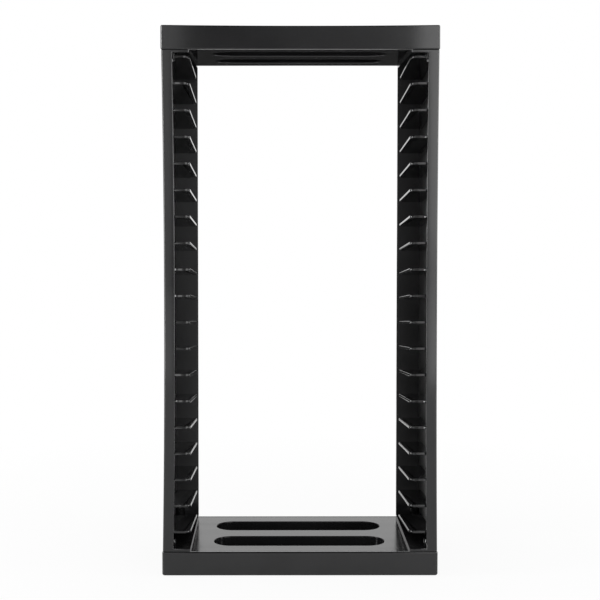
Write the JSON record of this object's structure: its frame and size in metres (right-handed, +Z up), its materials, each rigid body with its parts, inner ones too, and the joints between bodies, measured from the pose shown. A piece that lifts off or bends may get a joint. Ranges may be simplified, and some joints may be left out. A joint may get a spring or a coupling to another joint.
{
  "type": "flat case storage tower",
  "caption": "Tall open storage tower for flat cases: two side panels with sloping support ribs between a hollow top box and a hollow bottom box.",
  "frame": {"origin": "middle of the footprint, on the surface the tower stands on", "axes": "+X to the viewer's right, +Y from the open front to the back, +Z up"},
  "size_m": [0.19, 0.1, 0.378],
  "materials": {
    "case_black": "satin gloss black moulded plastic",
    "deck_black": "satin gloss black moulded plastic",
    "panel_black": "gloss black moulded plastic",
    "screw_steel": "zinc-plated steel",
    "pad_rubber": "matte black rubber"
  },
  "bodies": {
    "root": {"top_cap": "case_black", "top_deck": "deck_black", "bottom_deck": "deck_black", "bottom_cap": "case_black", "left_side_panel": "panel_black", "right_side_panel": "panel_black", "top_screws": "screw_steel", "bottom_screws": "screw_steel", "foot_pads": "pad_rubber"}
  },
  "joints": []
}
